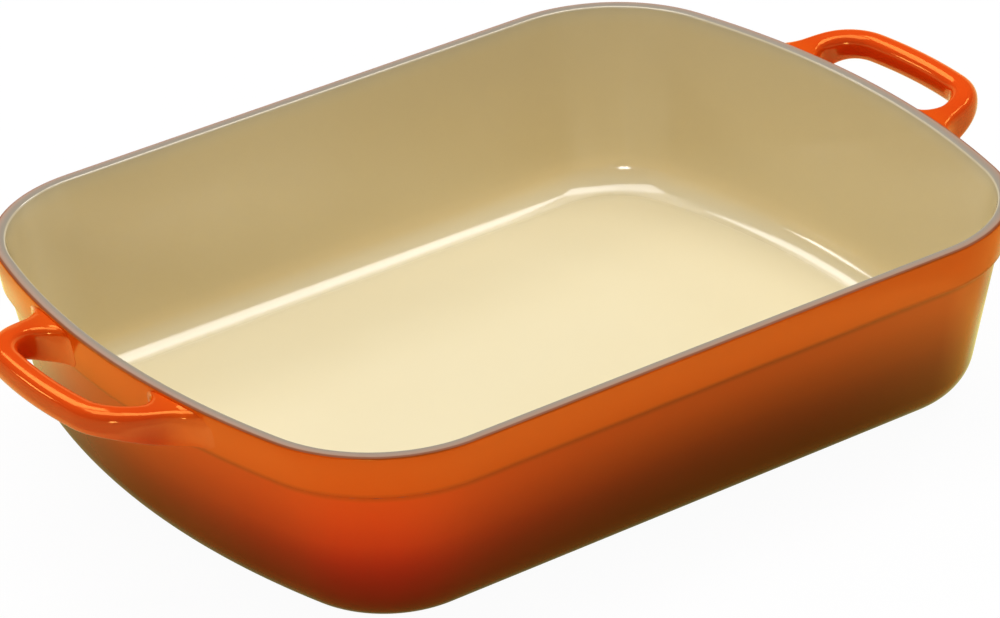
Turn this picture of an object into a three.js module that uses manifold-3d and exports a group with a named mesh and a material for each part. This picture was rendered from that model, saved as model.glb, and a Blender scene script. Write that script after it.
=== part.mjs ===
// An enamelled cast-iron roasting pan with two loop handles, in millimetres, +Z up.
// The origin is the middle of the base, where the pan stands. +X runs along the length, to the right handle.
import * as THREE from "three";
import Module from "manifold-3d";

const wasm = await Module();
wasm.setup();

// Driving dimensions of the tub. Sizes in plan are measured over the enamel.
const RIM_LENGTH = 332.4;
const RIM_WIDTH = 252.4;
const RIM_HEIGHT = 74.6;
const CORNER_RADIUS = 55; // of the rim, in plan
const END_RADIUS = 339; // of the two bowed ends, in plan
const WALL_LEAN = THREE.MathUtils.degToRad(11.5); // outwards from the vertical
const IRON_WALL = 3;
const IRON_FLOOR = 4;
const ENAMEL = 0.35; // thickness of every coat
const BOND = 0.02; // layer where a coat is fused to the iron
const FOOT_RADIUS = 17.6; // where the outside of the wall turns under
const FLOOR_RADIUS = 9; // where the inside of the wall turns into the floor
const BAND_HEIGHT = 16.6; // the thicker collar under the rim
const BAND_PROUD = 1.9; // how far the collar's lower edge stands off the wall
const BAND_TAPER = 2.25; // how far that edge lies in from the rim
const RIM_CROWN = 1.1; // rise of the rounded rim
const GREY_START = THREE.MathUtils.degToRad(45); // round the crown from its outer foot, where the grey begins
const GREY_END = THREE.MathUtils.degToRad(130); // and where the grey meets the coat of the inside

// Driving dimensions of a handle.
const HANDLE_REACH = 30.6; // from the rim's end to the outside of the bar
const HANDLE_SPAN = 87; // over the outsides of the two arms
const SHOULDER_RADIUS = 18.5; // of the bar's middle line, where an arm turns into the bar
const BAR_RADIUS = 176; // of the bowed bar's middle line
const BAR_WIDTH = 10;
const BAR_HEIGHT = 10.3;
const BAR_LIFT = 1.4; // how far the bar's top stands above the rim
const ROOT_DROP = 0.2; // how far an arm's top lies under the crown's foot at its root
const ROOT_OUTER_FILLET = 16; // radius in plan between an arm's outer side and the band
const ROOT_INNER_FILLET = 10.5; // and between its inner side and the band
const RISE_LENGTH = 25; // along an arm, from the root's depth to the bar's depth
const ROOT_SQUARENESS = 4; // exponent of the section's superellipse at the root
const BAR_SQUARENESS = 2.4; // and at the bar
const SEAT_GAP = 0.3; // between a handle and the wall that carries it

// How finely the round stretches are divided.
const CORNER_STEPS = 8;
const END_STEPS = 8;
const FOOT_STEPS = 5;
const FLOOR_STEPS = 5;
const CROWN_STEPS = 2; // in each of the crown's three colours
const ARM_STEPS = 8;
const SHOULDER_STEPS = 5;
const BAR_STEPS = 6;
const SECTION_STEPS = 12;

const FINISHES = {
  iron: { color: 0x4a4745, roughness: 0.75, metalness: 0.8 },
  orange: { color: 0xd45414, roughness: 0.18, metalness: 0 },
  sand: { color: 0xe3d3a4, roughness: 0.2, metalness: 0 },
  grey: { color: 0x9c8d80, roughness: 0.5, metalness: 0 },
  brown: { color: 0x4a2414, roughness: 0.4, metalness: 0 },
};

// Evenly spaced values from one end to the other, both included.
function spread(from, to, steps) {
  return Array.from({ length: steps + 1 }, (_, i) => from + ((to - from) * i) / steps);
}

// A station of an outline in plan: the centre and radius of its arc, and the direction out from that centre.
// Moving in by an inset shortens the radius, so that all insets give parallel outlines.
function station(x, y, radius, angle) {
  return { x, y, radius, out: new THREE.Vector2(Math.cos(angle), Math.sin(angle)) };
}

function stationPoint({ x, y, radius, out }, inset) {
  return new THREE.Vector2(x, y).addScaledVector(out, radius - inset);
}

// The corner arc between a straight side at y = halfWidth and a bowed end that reaches x = halfLength.
function cornerOf(halfLength, halfWidth, cornerRadius, endRadius) {
  const endX = halfLength - endRadius;
  const y = halfWidth - cornerRadius;
  const x = endX + Math.sqrt((endRadius - cornerRadius) ** 2 - y ** 2);
  return { endX, x, y, start: Math.atan2(y, x - endX) };
}

// The rim's outline, anticlockwise: an end and the two corners beside it, then the same turned half round.
function rimStations() {
  const corner = cornerOf(RIM_LENGTH / 2, RIM_WIDTH / 2, CORNER_RADIUS, END_RADIUS);
  const half = [
    ...spread(-Math.PI / 2, -corner.start, CORNER_STEPS)
      .map((angle) => station(corner.x, -corner.y, CORNER_RADIUS, angle)),
    ...spread(-corner.start, corner.start, END_STEPS)
      .slice(1, -1)
      .map((angle) => station(corner.endX, 0, END_RADIUS, angle)),
    ...spread(corner.start, Math.PI / 2, CORNER_STEPS)
      .map((angle) => station(corner.x, corner.y, CORNER_RADIUS, angle)),
  ];
  const opposite = half.map(({ x, y, radius, out }) => ({ x: -x, y: -y, radius, out: out.clone().negate() }));
  return [...half, ...opposite];
}

// The inset of the wall's outer face at a height, on the leaning line below the band.
function wallInset(height) {
  return BAND_TAPER + BAND_PROUD + (RIM_HEIGHT - BAND_HEIGHT - height) * Math.tan(WALL_LEAN);
}

// A fillet from a level face into the leaning wall, as (inset, height) points from the level face up.
function fillet(cornerInset, height, radius, steps) {
  const turn = Math.PI / 2 - WALL_LEAN;
  const centre = cornerInset + radius * Math.tan(turn / 2);
  return spread(0, turn, steps).map(
    (angle) => new THREE.Vector2(centre - radius * Math.sin(angle), height + radius * (1 - Math.cos(angle))),
  );
}

// The section of one wall, as (inset, height) points up the outside, over the rim and down the inside.
function wallProfile() {
  const bandFoot = RIM_HEIGHT - BAND_HEIGHT;
  const ledgeFoot = bandFoot - BAND_PROUD;
  const crownFoot = RIM_HEIGHT - RIM_CROWN;
  const coats = 2 * (ENAMEL + BOND);
  const wall = (IRON_WALL + coats) / Math.cos(WALL_LEAN);
  const floor = IRON_FLOOR + coats;
  const rimHalf = (wallInset(crownFoot) + wall) / 2;
  const outside = [
    ...fillet(wallInset(0), 0, FOOT_RADIUS, FOOT_STEPS),
    new THREE.Vector2(wallInset(ledgeFoot), ledgeFoot),
    new THREE.Vector2(BAND_TAPER, bandFoot),
  ];
  const crown = [
    ...spread(0, GREY_START, CROWN_STEPS),
    ...spread(GREY_START, GREY_END, CROWN_STEPS).slice(1),
    ...spread(GREY_END, Math.PI, CROWN_STEPS).slice(1),
  ].map(
    (angle) =>
      new THREE.Vector2(rimHalf - rimHalf * Math.cos(angle), crownFoot + RIM_CROWN * Math.sin(angle)),
  );
  const inside = fillet(wallInset(floor) + wall, floor, FLOOR_RADIUS, FLOOR_STEPS).reverse();
  return {
    points: [...outside, ...crown, ...inside],
    crownStart: outside.length,
    greyStart: outside.length + CROWN_STEPS,
    greyEnd: outside.length + 2 * CROWN_STEPS,
  };
}

// The same profile moved into the iron by a distance, or out of it where that is negative.
// Both its ends are on level faces.
function movedProfile(points, distance) {
  const before = new THREE.Vector2(-1, 0);
  const after = new THREE.Vector2(1, 0);
  const runs = points.slice(1).map((point, i) => point.clone().sub(points[i]).normalize());
  return points.map((point, i) => {
    const arriving = runs[i - 1] ?? before;
    const leaving = runs[i] ?? after;
    const mitre = new THREE.Vector2(arriving.y + leaving.y, -arriving.x - leaving.x);
    return point.clone().addScaledVector(mitre, distance / (1 + arriving.dot(leaving)));
  });
}

// Rings of points, one for each (inset, height) point of a profile carried round the rim's outline.
function ringsOf(profile) {
  const stations = rimStations();
  return profile.map(({ x: inset, y: height }) =>
    stations.map((place) => {
      const { x, y } = stationPoint(place, inset);
      return new THREE.Vector3(x, y, height);
    }),
  );
}

// A closed surface through rings of equally many points. The last joins the first, or both are capped flat.
function surface(rings, capped) {
  const count = rings[0].length;
  const points = rings.flat();
  const index = [];
  const bands = capped ? rings.length - 1 : rings.length;
  for (let r = 0; r < bands; r++) {
    const low = r * count;
    const high = ((r + 1) % rings.length) * count;
    for (let i = 0; i < count; i++) {
      const next = (i + 1) % count;
      index.push(low + i, low + next, high + next, low + i, high + next, high + i);
    }
  }
  if (capped) {
    const last = (rings.length - 1) * count;
    const middles = [rings[0], rings.at(-1)].map((ring) =>
      ring.reduce((sum, point) => sum.add(point), new THREE.Vector3()).divideScalar(count),
    );
    for (let i = 0; i < count; i++) {
      const next = (i + 1) % count;
      index.push(points.length, next, i);
      index.push(points.length + 1, last + i, last + next);
    }
    points.push(...middles);
  }
  return new THREE.BufferGeometry().setFromPoints(points).setIndex(index);
}

function toSolid(geometry) {
  const vertProperties = new Float32Array(geometry.getAttribute("position").array);
  const triVerts = new Uint32Array(geometry.getIndex().array);
  return new wasm.Manifold(new wasm.Mesh({ numProp: 3, vertProperties, triVerts }));
}

function toGeometry(solid) {
  const { vertProperties, triVerts } = solid.getMesh();
  return new THREE.BufferGeometry()
    .setAttribute("position", new THREE.BufferAttribute(vertProperties, 3))
    .setIndex(new THREE.BufferAttribute(triVerts, 1));
}

function cut(geometry, ...tools) {
  return toGeometry(tools.reduce((left, tool) => left.subtract(toSolid(tool)), toSolid(geometry)));
}

function turnedHalfRound(geometry) {
  return geometry.clone().rotateZ(Math.PI);
}

// The middle line of a handle in plan, from inside the wall along one arm, round the bar and back.
function handleStations() {
  const middle = RIM_LENGTH / 2 + HANDLE_REACH - BAR_WIDTH / 2;
  const armY = (HANDLE_SPAN - BAR_WIDTH) / 2;
  const corner = cornerOf(middle, armY, SHOULDER_RADIUS, BAR_RADIUS);
  const root = RIM_LENGTH / 2 - BAR_WIDTH;
  const side = [
    ...spread(root, corner.x, ARM_STEPS)
      .slice(0, -1)
      .map((x) => station(x, corner.y, SHOULDER_RADIUS, Math.PI / 2)),
    ...spread(Math.PI / 2, corner.start, SHOULDER_STEPS)
      .map((angle) => station(corner.x, corner.y, SHOULDER_RADIUS, angle)),
  ];
  const bar = spread(corner.start, -corner.start, BAR_STEPS)
    .slice(1, -1)
    .map((angle) => station(corner.endX, 0, BAR_RADIUS, angle));
  const mirrored = side
    .map(({ x, y, radius, out }) => ({ x, y: -y, radius, out: new THREE.Vector2(out.x, -out.y) }))
    .reverse();
  return [...side, ...bar, ...mirrored];
}

// The fillet in plan from an arm's side, at y = armSide, to the band. It spreads along y by its direction.
// It returns how far it stands out from that side at a place along the arm, up to where it touches the band.
function rootFillet(armSide, direction, radius) {
  const endCentre = RIM_LENGTH / 2 - END_RADIUS;
  const reach = END_RADIUS + radius;
  const centre = endCentre + Math.sqrt(reach ** 2 - (armSide + direction * radius) ** 2);
  const touch = THREE.MathUtils.lerp(endCentre, centre, END_RADIUS / reach);
  return (x) => {
    const left = Math.max(centre - Math.max(x, touch), 0);
    return radius - Math.sqrt(radius ** 2 - left ** 2);
  };
}

// The right handle as a surface of superellipse sections carried along its middle line, grown by a distance.
// Its roots lean with the band's face.
function handleSurface(grown) {
  const endCentre = RIM_LENGTH / 2 - END_RADIUS;
  const bandFoot = RIM_HEIGHT - BAND_HEIGHT;
  const bandTop = RIM_HEIGHT - RIM_CROWN;
  const outerFillet = rootFillet(HANDLE_SPAN / 2, 1, ROOT_OUTER_FILLET);
  const innerFillet = rootFillet(HANDLE_SPAN / 2 - BAR_WIDTH, -1, ROOT_INNER_FILLET);
  const rings = handleStations().map((place) => {
    const centre = stationPoint(place, 0);
    const bandFace = endCentre + Math.sqrt(END_RADIUS ** 2 - centre.y ** 2);
    const distance = Math.max(centre.x - bandFace, 0);
    const share = THREE.MathUtils.smoothstep(distance, 0, RISE_LENGTH);
    const outer = BAR_WIDTH / 2 + outerFillet(centre.x) + grown;
    const inner = BAR_WIDTH / 2 + innerFillet(centre.x) + grown;
    const top = THREE.MathUtils.lerp(bandTop - ROOT_DROP, RIM_HEIGHT + BAR_LIFT, share) + grown;
    const foot = THREE.MathUtils.lerp(bandFoot, RIM_HEIGHT + BAR_LIFT - BAR_HEIGHT, share) - grown;
    const power = 2 / THREE.MathUtils.lerp(ROOT_SQUARENESS, BAR_SQUARENESS, share);
    return spread(0, 2 * Math.PI, SECTION_STEPS)
      .slice(0, -1)
      .map((angle) => {
        const across = Math.sign(Math.cos(angle)) * Math.abs(Math.cos(angle)) ** power;
        const up = Math.sign(Math.sin(angle)) * Math.abs(Math.sin(angle)) ** power;
        const { x, y } = stationPoint(place, -(outer - inner + (outer + inner) * across) / 2);
        const z = (top + foot + (top - foot) * up) / 2;
        const lean = THREE.MathUtils.mapLinear(z, bandTop, bandFoot, 0, BAND_TAPER);
        return new THREE.Vector3(x - lean * (1 - share), y, z);
      });
  });
  return surface(rings, true);
}

function piece(name, geometry, finish) {
  const mesh = new THREE.Mesh(geometry, new THREE.MeshStandardMaterial(FINISHES[finish]));
  mesh.name = name;
  geometry.computeVertexNormals();
  return mesh;
}

// The tub: its iron, and the coats fused to it. A coat is the layer between the skin and its own inner face.
function makeTub() {
  const { points, greyStart, greyEnd } = wallProfile();
  const iron = ringsOf(movedProfile(points, ENAMEL + BOND));
  const inner = ringsOf(movedProfile(points, ENAMEL));
  const skin = ringsOf(points);
  const coat = (from, to) => surface(
    [...skin.slice(from, to + 1), ...inner.slice(from, to + 1).reverse()],
    false,
  );
  const lining = surface([...inner.slice(greyEnd).reverse(), ...skin.slice(greyEnd)], true);
  const openings = handleSurface(SEAT_GAP - ENAMEL);
  const tub = new THREE.Group();
  tub.add(
    piece("pan_casting", surface(iron, true), "iron"),
    piece("exterior_enamel", cut(coat(0, greyStart), openings, turnedHalfRound(openings)), "orange"),
    piece("rim_enamel", coat(greyStart, greyEnd), "grey"),
    piece("interior_enamel", lining, "sand"),
    piece("base_enamel", surface([skin[0], inner[0]], true), "brown"),
  );
  return tub;
}

// The space that the tub fills up to its rim, grown by a distance, which a handle's roots are cut back from.
function tubSpace(distance) {
  const { points, crownStart } = wallProfile();
  const outline = movedProfile(points, distance).slice(0, crownStart + 1);
  const brim = new THREE.Vector2(outline.at(-1).x, RIM_HEIGHT + BAR_HEIGHT);
  return surface(ringsOf([...outline, brim]), true);
}

// A handle: its iron seats on the tub's iron through the tub's coat, and its own coat seats on that coat.
function makeHandle(side) {
  const iron = cut(handleSurface(-ENAMEL - BOND), tubSpace(ENAMEL + BOND - SEAT_GAP));
  const coat = cut(handleSurface(0), handleSurface(-ENAMEL), tubSpace(-SEAT_GAP));
  const handle = new THREE.Group();
  handle.add(
    piece(`${side}_handle_casting`, iron, "iron"),
    piece(`${side}_handle_enamel`, coat, "orange"),
  );
  return handle;
}

const rightHandle = makeHandle("right");
const leftHandle = makeHandle("left");
leftHandle.rotation.z = Math.PI;

const pan = new THREE.Group();
pan.name = "roasting_pan";
pan.add(makeTub(), rightHandle, leftHandle);

export default pan;
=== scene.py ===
"""The looks of an enamelled cast-iron roasting pan with two loop handles.

Lengths are in metres. The origin is the middle of the base, +Z is up and +X runs along the length,
to the right handle. The coats of enamel are worked out finely here and stand for the coats of the
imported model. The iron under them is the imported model's own.
"""
import logging
import math
from dataclasses import dataclass
from enum import Enum

import bpy
import numpy as np
from mathutils import Matrix, Vector


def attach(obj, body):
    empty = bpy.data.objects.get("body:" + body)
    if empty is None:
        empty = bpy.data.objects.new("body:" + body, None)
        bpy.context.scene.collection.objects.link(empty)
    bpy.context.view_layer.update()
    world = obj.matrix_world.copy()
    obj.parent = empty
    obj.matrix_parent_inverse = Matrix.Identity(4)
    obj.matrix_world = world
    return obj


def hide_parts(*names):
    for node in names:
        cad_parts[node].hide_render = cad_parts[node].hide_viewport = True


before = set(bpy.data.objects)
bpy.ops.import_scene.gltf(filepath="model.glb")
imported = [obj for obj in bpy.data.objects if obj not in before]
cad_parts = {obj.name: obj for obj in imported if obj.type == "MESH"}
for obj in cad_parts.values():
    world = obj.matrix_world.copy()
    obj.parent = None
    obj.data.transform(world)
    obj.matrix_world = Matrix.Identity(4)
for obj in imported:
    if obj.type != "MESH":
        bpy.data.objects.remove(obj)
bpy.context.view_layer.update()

log = logging.getLogger("roasting_pan")

MM = 0.001
IRON_NODES = ("pan_casting", "right_handle_casting", "left_handle_casting")

# Colours as six hexadecimal digits, each at its place from 0 to 1.
Shades = tuple[tuple[float, str], ...]
# What an input of a node takes: a socket to link to it, or a number.
Source = bpy.types.NodeSocket | float


class Slot(Enum):
    """The record's material slots for the coats."""

    ORANGE = "orange_enamel"
    SAND = "sand_enamel"
    GREY = "grey_enamel"
    BROWN = "brown_enamel"


class End(Enum):
    """The end of the pan that a handle is on, with the sign that turns the right handle to it."""

    RIGHT = 1
    LEFT = -1


def linear(code: str) -> tuple[float, float, float, float]:
    """Turns a screen colour into the linear colour that a shader takes.

    Each channel is ((c + 0.055) / 1.055) to the power 2.4, or c / 12.92 where it is dark.

    Args:
        code: Six hexadecimal digits, two each for red, green and blue.

    Returns:
        Red, green, blue and a full alpha.
    """
    screen = np.array([int(code[i:i + 2], 16) for i in (0, 2, 4)]) / 255
    channels = np.where(screen <= 0.04045, screen / 12.92, ((screen + 0.055) / 1.055) ** 2.4)
    return (*channels.tolist(), 1.0)


def smoothstep(value: np.ndarray, low: float, high: float) -> np.ndarray:
    """Rises from 0 at low to 1 at high as 3 t squared less 2 t cubed."""
    share = np.clip((value - low) / (high - low), 0, 1)
    return share * share * (3 - 2 * share)


@dataclass(frozen=True)
class Ramp:
    """A smooth passage from one value to another.

    Attributes:
        start: Where it begins.
        end: Where it ends.
        low: The value up to its start.
        high: The value from its end on.
    """

    start: float
    end: float
    low: float = 0.0
    high: Source = 1.0


class Graph:
    """The nodes of a material or of the sky, added one by one and linked by their sockets."""

    # The range in which most values of a cloudy pattern lie.
    CLOUDY_LOW = 0.3
    CLOUDY_HIGH = 0.7

    def __init__(self, owner: bpy.types.Material | bpy.types.World) -> None:
        """Starts an empty set of nodes with its output node.

        Args:
            owner: The material or the sky that gets the nodes.
        """
        owner.use_nodes = True
        self.owner = owner
        self.tree = owner.node_tree
        self.tree.nodes.clear()
        kind = "Material" if isinstance(owner, bpy.types.Material) else "World"
        self.output = self.tree.nodes.new("ShaderNodeOutput" + kind)

    def finish(self, surface: bpy.types.NodeSocket) -> None:
        """Links a shader to the output."""
        self.tree.links.new(surface, self.output.inputs["Surface"])

    def add(self, kind: str, inputs: dict | None = None, **settings: object) -> bpy.types.Node:
        """Adds a node.

        Args:
            kind: The node's type, without the ShaderNode in front.
            inputs: What each input takes, by its name or number: a socket to link, or a value.
            settings: The node's own properties.

        Returns:
            The new node.
        """
        node = self.tree.nodes.new("ShaderNode" + kind)
        for key, value in settings.items():
            setattr(node, key, value)
        for key, value in (inputs or {}).items():
            if isinstance(value, bpy.types.NodeSocket):
                self.tree.links.new(value, node.inputs[key])
            else:
                node.inputs[key].default_value = value
        return node

    def noise(self, place: bpy.types.NodeSocket, size: float, detail: float = 2.0) -> bpy.types.NodeSocket:
        """Adds a cloudy pattern whose patches are about as large as a size, and returns its value."""
        return self.add("TexNoise", {"Vector": place, "Scale": 1 / size, "Detail": detail}).outputs["Fac"]

    def attribute(self, name: str) -> bpy.types.NodeSocket:
        """Reads a point attribute of the piece."""
        return self.add("Attribute", attribute_name=name).outputs["Fac"]

    def spread(self, value: bpy.types.NodeSocket, low: float, high: float) -> bpy.types.NodeSocket:
        """Maps most of a cloudy pattern's values on to a range from low to high."""
        limits = {"From Min": self.CLOUDY_LOW, "From Max": self.CLOUDY_HIGH, "To Min": low, "To Max": high}
        return self.add("MapRange", {"Value": value, **limits}).outputs["Result"]

    def eased(self, value: bpy.types.NodeSocket, ramp: Ramp) -> bpy.types.NodeSocket:
        """Passes along a ramp as a value rises, as 3 t squared less 2 t cubed.

        Args:
            value: The value.
            ramp: The passage.

        Returns:
            The ramp's value there.
        """
        limits = {"From Min": ramp.start, "From Max": ramp.end, "To Min": ramp.low, "To Max": ramp.high}
        node = self.add("MapRange", {"Value": value, **limits}, interpolation_type="SMOOTHSTEP")
        return node.outputs["Result"]

    def maths(self, operation: str, first: Source, second: Source) -> bpy.types.NodeSocket:
        """Does one step of arithmetic on two numbers, and returns the number."""
        return self.add("Math", {0: first, 1: second}, operation=operation).outputs["Value"]

    def vectors(
        self, operation: str, first: bpy.types.NodeSocket, second: bpy.types.NodeSocket | tuple,
    ) -> bpy.types.NodeSocket:
        """Does one step of arithmetic on two vectors, and returns the vector."""
        return self.add("VectorMath", {0: first, 1: second}, operation=operation).outputs["Vector"]

    def mixed(
        self,
        colour: bpy.types.NodeSocket | tuple,
        other: bpy.types.NodeSocket | tuple,
        share: bpy.types.NodeSocket,
    ) -> bpy.types.NodeSocket:
        """Mixes a colour with another one by a share, and returns the mixture."""
        mix = self.add("MixRGB", {"Fac": share, "Color1": colour, "Color2": other})
        return mix.outputs["Color"]

    def shaded(self, level: bpy.types.NodeSocket, shades: Shades) -> bpy.types.NodeSocket:
        """Lays shades along a value, on a smooth curve where there are more than two.

        Args:
            level: The value, from 0 to 1.
            shades: The colours by their place on it.

        Returns:
            The colour.
        """
        node = self.add("ValToRGB", {"Fac": level})
        ramp = node.color_ramp
        ramp.interpolation = "B_SPLINE" if len(shades) > 2 else "LINEAR"
        while len(ramp.elements) < len(shades):
            ramp.elements.new(1.0)
        for stop, (where, code) in zip(ramp.elements, shades):
            stop.position = where
            stop.color = linear(code)
        return node.outputs["Color"]


@dataclass(frozen=True)
class Enamel:
    """A coat of fired glass enamel, with colours laid over a measure and small unevenness.

    Attributes:
        name: The material's name.
        shades: Colours by their place on the coat's measure, which is its point attribute MEASURE.
        cloud: A second colour that drifts over the first in soft patches.
        cloud_share: How strongly it does so, at most.
        gloss: Roughness, lowest and highest.
        mirror: Strength of its reflection, where 0.5 is window glass.
        wander: How far its shades stray from their places on the measure.
        ripple: Height of the slow waves in its surface.
        peel: Height of the fine unevenness that firing leaves.
    """

    name: str
    shades: Shades
    cloud: str
    cloud_share: float
    gloss: tuple[float, float]
    mirror: float = 0.5
    wander: float = 0.002
    ripple: float = 0.03 * MM
    peel: float = 0.002 * MM

    MEASURE = "shade_place"
    # Sizes of the patches and waves in its patterns.
    WANDER_PATCH = 30 * MM
    GLOSS_PATCH = 12 * MM
    CLOUD_PATCH = 55 * MM
    RIPPLE_LENGTH = 35 * MM
    PEEL_LENGTH = 1.6 * MM

    def colour(self, graph: Graph, place: bpy.types.NodeSocket) -> bpy.types.NodeSocket:
        """Lays the shades along the coat's measure and returns the colour."""
        return graph.shaded(self.level(graph, place), self.shades)

    def level(self, graph: Graph, place: bpy.types.NodeSocket) -> bpy.types.NodeSocket:
        """Gives the coat's measure, wandering a little with a slow pattern."""
        stray = graph.spread(graph.noise(place, self.WANDER_PATCH), -self.wander, self.wander)
        return graph.maths("ADD", graph.attribute(self.MEASURE), stray)

    def roughness(self, graph: Graph, place: bpy.types.NodeSocket) -> bpy.types.NodeSocket:
        """Gives the coat's roughness, which drifts between its limits in small patches."""
        return graph.spread(graph.noise(place, self.GLOSS_PATCH, detail=4.0), *self.gloss)

    def material(self) -> bpy.types.Material:
        """Builds the coat's nodes.

        Returns:
            The material.
        """
        graph = Graph(bpy.data.materials.new(self.name))
        place = graph.add("TexCoord").outputs["Object"]
        patches = graph.spread(graph.noise(place, self.CLOUD_PATCH, detail=3.0), 0.0, self.cloud_share)
        colour = graph.mixed(self.colour(graph, place), linear(self.cloud), patches)
        waves = {"Height": graph.noise(place, self.RIPPLE_LENGTH), "Distance": self.ripple}
        slow = graph.add("Bump", waves).outputs["Normal"]
        peel = {"Height": graph.noise(place, self.PEEL_LENGTH), "Distance": self.peel, "Normal": slow}
        fine = graph.add("Bump", peel).outputs["Normal"]
        surface = {"Roughness": self.roughness(graph, place), "Normal": fine}
        coat = {"Base Color": colour, "Specular IOR Level": self.mirror}
        shader = graph.add("BsdfPrincipled", {**coat, **surface})
        graph.finish(self.glazed(graph, shader.outputs["BSDF"], surface))
        return graph.owner

    def glazed(
        self, graph: Graph, coat: bpy.types.NodeSocket, surface: dict[str, bpy.types.NodeSocket],
    ) -> bpy.types.NodeSocket:
        """Gives the shader with its glaze. A plain coat has none."""
        return coat


@dataclass(frozen=True)
class CookingEnamel(Enamel):
    """A coat that is duller on the level floor than on the walls.

    Attributes:
        floor_gloss: Roughness on the floor, where the measure is 0.
        floor_edge: The measure from which the coat is as glossy as the walls.
    """

    floor_gloss: float = 0.4
    floor_edge: float = 0.006

    def roughness(self, graph: Graph, place: bpy.types.NodeSocket) -> bpy.types.NodeSocket:
        """Passes from the floor's roughness to that of the walls as the measure rises."""
        rise = Ramp(0.0, self.floor_edge, self.floor_gloss, super().roughness(graph, place))
        return graph.eased(graph.attribute(self.MEASURE), rise)


@dataclass(frozen=True)
class GlazedEnamel(Enamel):
    """A coat under a clear coloured glaze, which tints all that it reflects.

    Attributes:
        mirror: None for the coat itself, because the glaze reflects.
        glaze: Colour of the glaze's reflection where it is looked at squarely.
        edge_glaze: Colour of its reflection where it is looked at along the surface.
        index: The glaze's index of refraction.
    """

    mirror: float = 0.0
    glaze: str = "ffffff"
    edge_glaze: str = "ffffff"
    index: float = 1.5

    # The shares of reflected light between which the glaze passes to its colour along the surface.
    EDGE = Ramp(0.18, 0.42)

    def glazed(
        self, graph: Graph, coat: bpy.types.NodeSocket, surface: dict[str, bpy.types.NodeSocket],
    ) -> bpy.types.NodeSocket:
        """Lays the glaze over the coat, by the share of light that glass of its index reflects.

        Args:
            graph: The nodes to add to.
            coat: The shader of the coat under it.
            surface: The coat's roughness and normal.

        Returns:
            The shader of both.
        """
        share = graph.add("Fresnel", {"IOR": self.index, "Normal": surface["Normal"]}).outputs["Fac"]
        tint = graph.mixed(linear(self.glaze), linear(self.edge_glaze), graph.eased(share, self.EDGE))
        glaze = graph.add("BsdfAnisotropic", {"Color": tint, **surface}).outputs["BSDF"]
        return graph.add("MixShader", {0: share, 1: coat, 2: glaze}).outputs["Shader"]


@dataclass(frozen=True)
class TwoShadeEnamel(GlazedEnamel):
    """A coat that passes between two sets of shades.

    Attributes:
        second_shades: Colours by their place on the measure where the point attribute SECOND is 1.
    """

    second_shades: Shades = ()

    SECOND = "second_share"

    def colour(self, graph: Graph, place: bpy.types.NodeSocket) -> bpy.types.NodeSocket:
        """Lays both sets of shades along the measure and passes from one to the other.

        Args:
            graph: The nodes to add to.
            place: The Object coordinates.

        Returns:
            The colour.
        """
        level = self.level(graph, place)
        first = graph.shaded(level, self.shades)
        second = graph.shaded(level, self.second_shades)
        return graph.mixed(first, second, graph.attribute(self.SECOND))


@dataclass(frozen=True)
class CastIron:
    """Bare cast iron, dark and grainy from its sand mould.

    Attributes:
        name: The material's name.
        dark: Colour in the hollows.
        light: Colour on the grains.
        grain: Size of the grains.
        grain_height: How far they stand up.
        patch: Size of the smoother and rougher patches.
        roughness: Lowest and highest.
        metal: How much of it shines as metal.
    """

    name: str = "bare_cast_iron"
    dark: str = "2a2725"
    light: str = "55504c"
    grain: float = 0.9 * MM
    grain_height: float = 0.15 * MM
    patch: float = 6 * MM
    roughness: tuple[float, float] = (0.6, 0.8)
    metal: float = 0.8

    def material(self) -> bpy.types.Material:
        """Builds the iron's nodes.

        Returns:
            The material.
        """
        graph = Graph(bpy.data.materials.new(self.name))
        place = graph.add("TexCoord").outputs["Object"]
        grain = graph.noise(place, self.grain, detail=5.0)
        shades = ((graph.CLOUDY_LOW, self.dark), (graph.CLOUDY_HIGH, self.light))
        bump = graph.add("Bump", {"Height": grain, "Distance": self.grain_height})
        shader = graph.add(
            "BsdfPrincipled",
            {
                "Base Color": graph.shaded(grain, shades),
                "Roughness": graph.spread(graph.noise(place, self.patch), *self.roughness),
                "Normal": bump.outputs["Normal"],
                "Metallic": self.metal,
            },
        )
        graph.finish(shader.outputs["BSDF"])
        return graph.owner


@dataclass(frozen=True)
class Stations:
    """Places round an outline in plan, all on arcs.

    Attributes:
        centre: The centre of each place's arc.
        radius: The radius of that arc.
        out: The direction out from the centre.
    """

    centre: np.ndarray
    radius: np.ndarray
    out: np.ndarray

    def moved_in(self, inset: np.ndarray) -> np.ndarray:
        """Gives the points at some insets: the centre plus (radius less inset) times the direction out."""
        # The insets' last axis is the stations, or has one entry for all of them.
        return self.centre + (self.radius - inset)[..., None] * self.out


def arc_stations(centre: tuple[float, float], radius: float, angles: np.ndarray) -> Stations:
    """Gives the stations at some angles of one arc."""
    out = np.stack([np.cos(angles), np.sin(angles)], axis=-1)
    return Stations(np.broadcast_to(centre, out.shape), np.full(len(angles), radius), out)


def straight_stations(along: np.ndarray, y: float, radius: float) -> Stations:
    """Gives stations along a straight run that faces +Y, each at a radius from a centre at y."""
    centre = np.stack([along, np.full(len(along), y)], axis=-1)
    return Stations(centre, np.full(len(along), radius), np.broadcast_to((0.0, 1.0), centre.shape))


def joined(*runs: Stations) -> Stations:
    """Gives one run of stations made of several."""
    parts = zip(*((run.centre, run.radius, run.out) for run in runs))
    return Stations(*(np.concatenate(part) for part in parts))


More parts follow.
